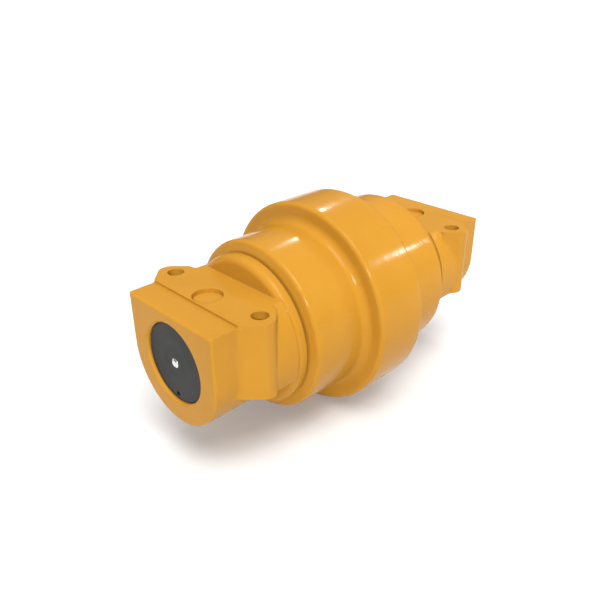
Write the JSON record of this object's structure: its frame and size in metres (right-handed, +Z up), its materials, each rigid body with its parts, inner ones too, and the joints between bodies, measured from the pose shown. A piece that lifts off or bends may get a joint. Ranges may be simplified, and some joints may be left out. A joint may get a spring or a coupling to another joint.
{
  "type": "track roller",
  "caption": "Track roller with a centre rim: a sealed, oil-filled shell that turns on a fixed shaft between two end collars, which bolt up under a track frame.",
  "frame": {"origin": "on the roller's axis, midway between the two end collars, at the middle of the rim", "axes": "+X along the roller's axis towards the right-hand collar, +Z up towards the track frame that the pads bolt to"},
  "size_m": [0.54, 0.3, 0.3],
  "materials": {
    "yellow_paint": "glossy yellow-orange enamel",
    "dark_steel": "dark, oiled, machined",
    "plated_steel": "bright zinc plate",
    "ground_steel": "ground",
    "seal_iron": "lapped face, turned back",
    "bearing_bronze": "bored bronze",
    "seal_rubber": "moulded black rubber"
  },
  "bodies": {
    "support": {"end_collar_left": "yellow_paint", "end_collar_right": "yellow_paint", "pin_cover_left": "yellow_paint", "pin_cover_right": "yellow_paint", "shaft": "dark_steel", "oil_plug": "plated_steel", "oil_plug_oring": "seal_rubber", "seal_ring_fixed_left": "seal_iron", "toric_ring_fixed_left": "seal_rubber", "collar_oring_left": "seal_rubber", "lock_pin_left": "ground_steel", "seal_ring_fixed_right": "seal_iron", "toric_ring_fixed_right": "seal_rubber", "collar_oring_right": "seal_rubber", "lock_pin_right": "ground_steel"},
    "roller": {"roller_shell": "yellow_paint", "bushing_left": "bearing_bronze", "thrust_washer_left": "bearing_bronze", "washer_dowels_left": "ground_steel", "seal_ring_turning_left": "seal_iron", "toric_ring_turning_left": "seal_rubber", "bushing_right": "bearing_bronze", "thrust_washer_right": "bearing_bronze", "washer_dowels_right": "ground_steel", "seal_ring_turning_right": "seal_iron", "toric_ring_turning_right": "seal_rubber"}
  },
  "joints": [
    {"name": "roller_spin", "type": "hinge", "parent": "support", "child": "roller", "pos_m": [0, 0, 0], "axis": [1, 0, 0], "continuous": true}
  ]
}
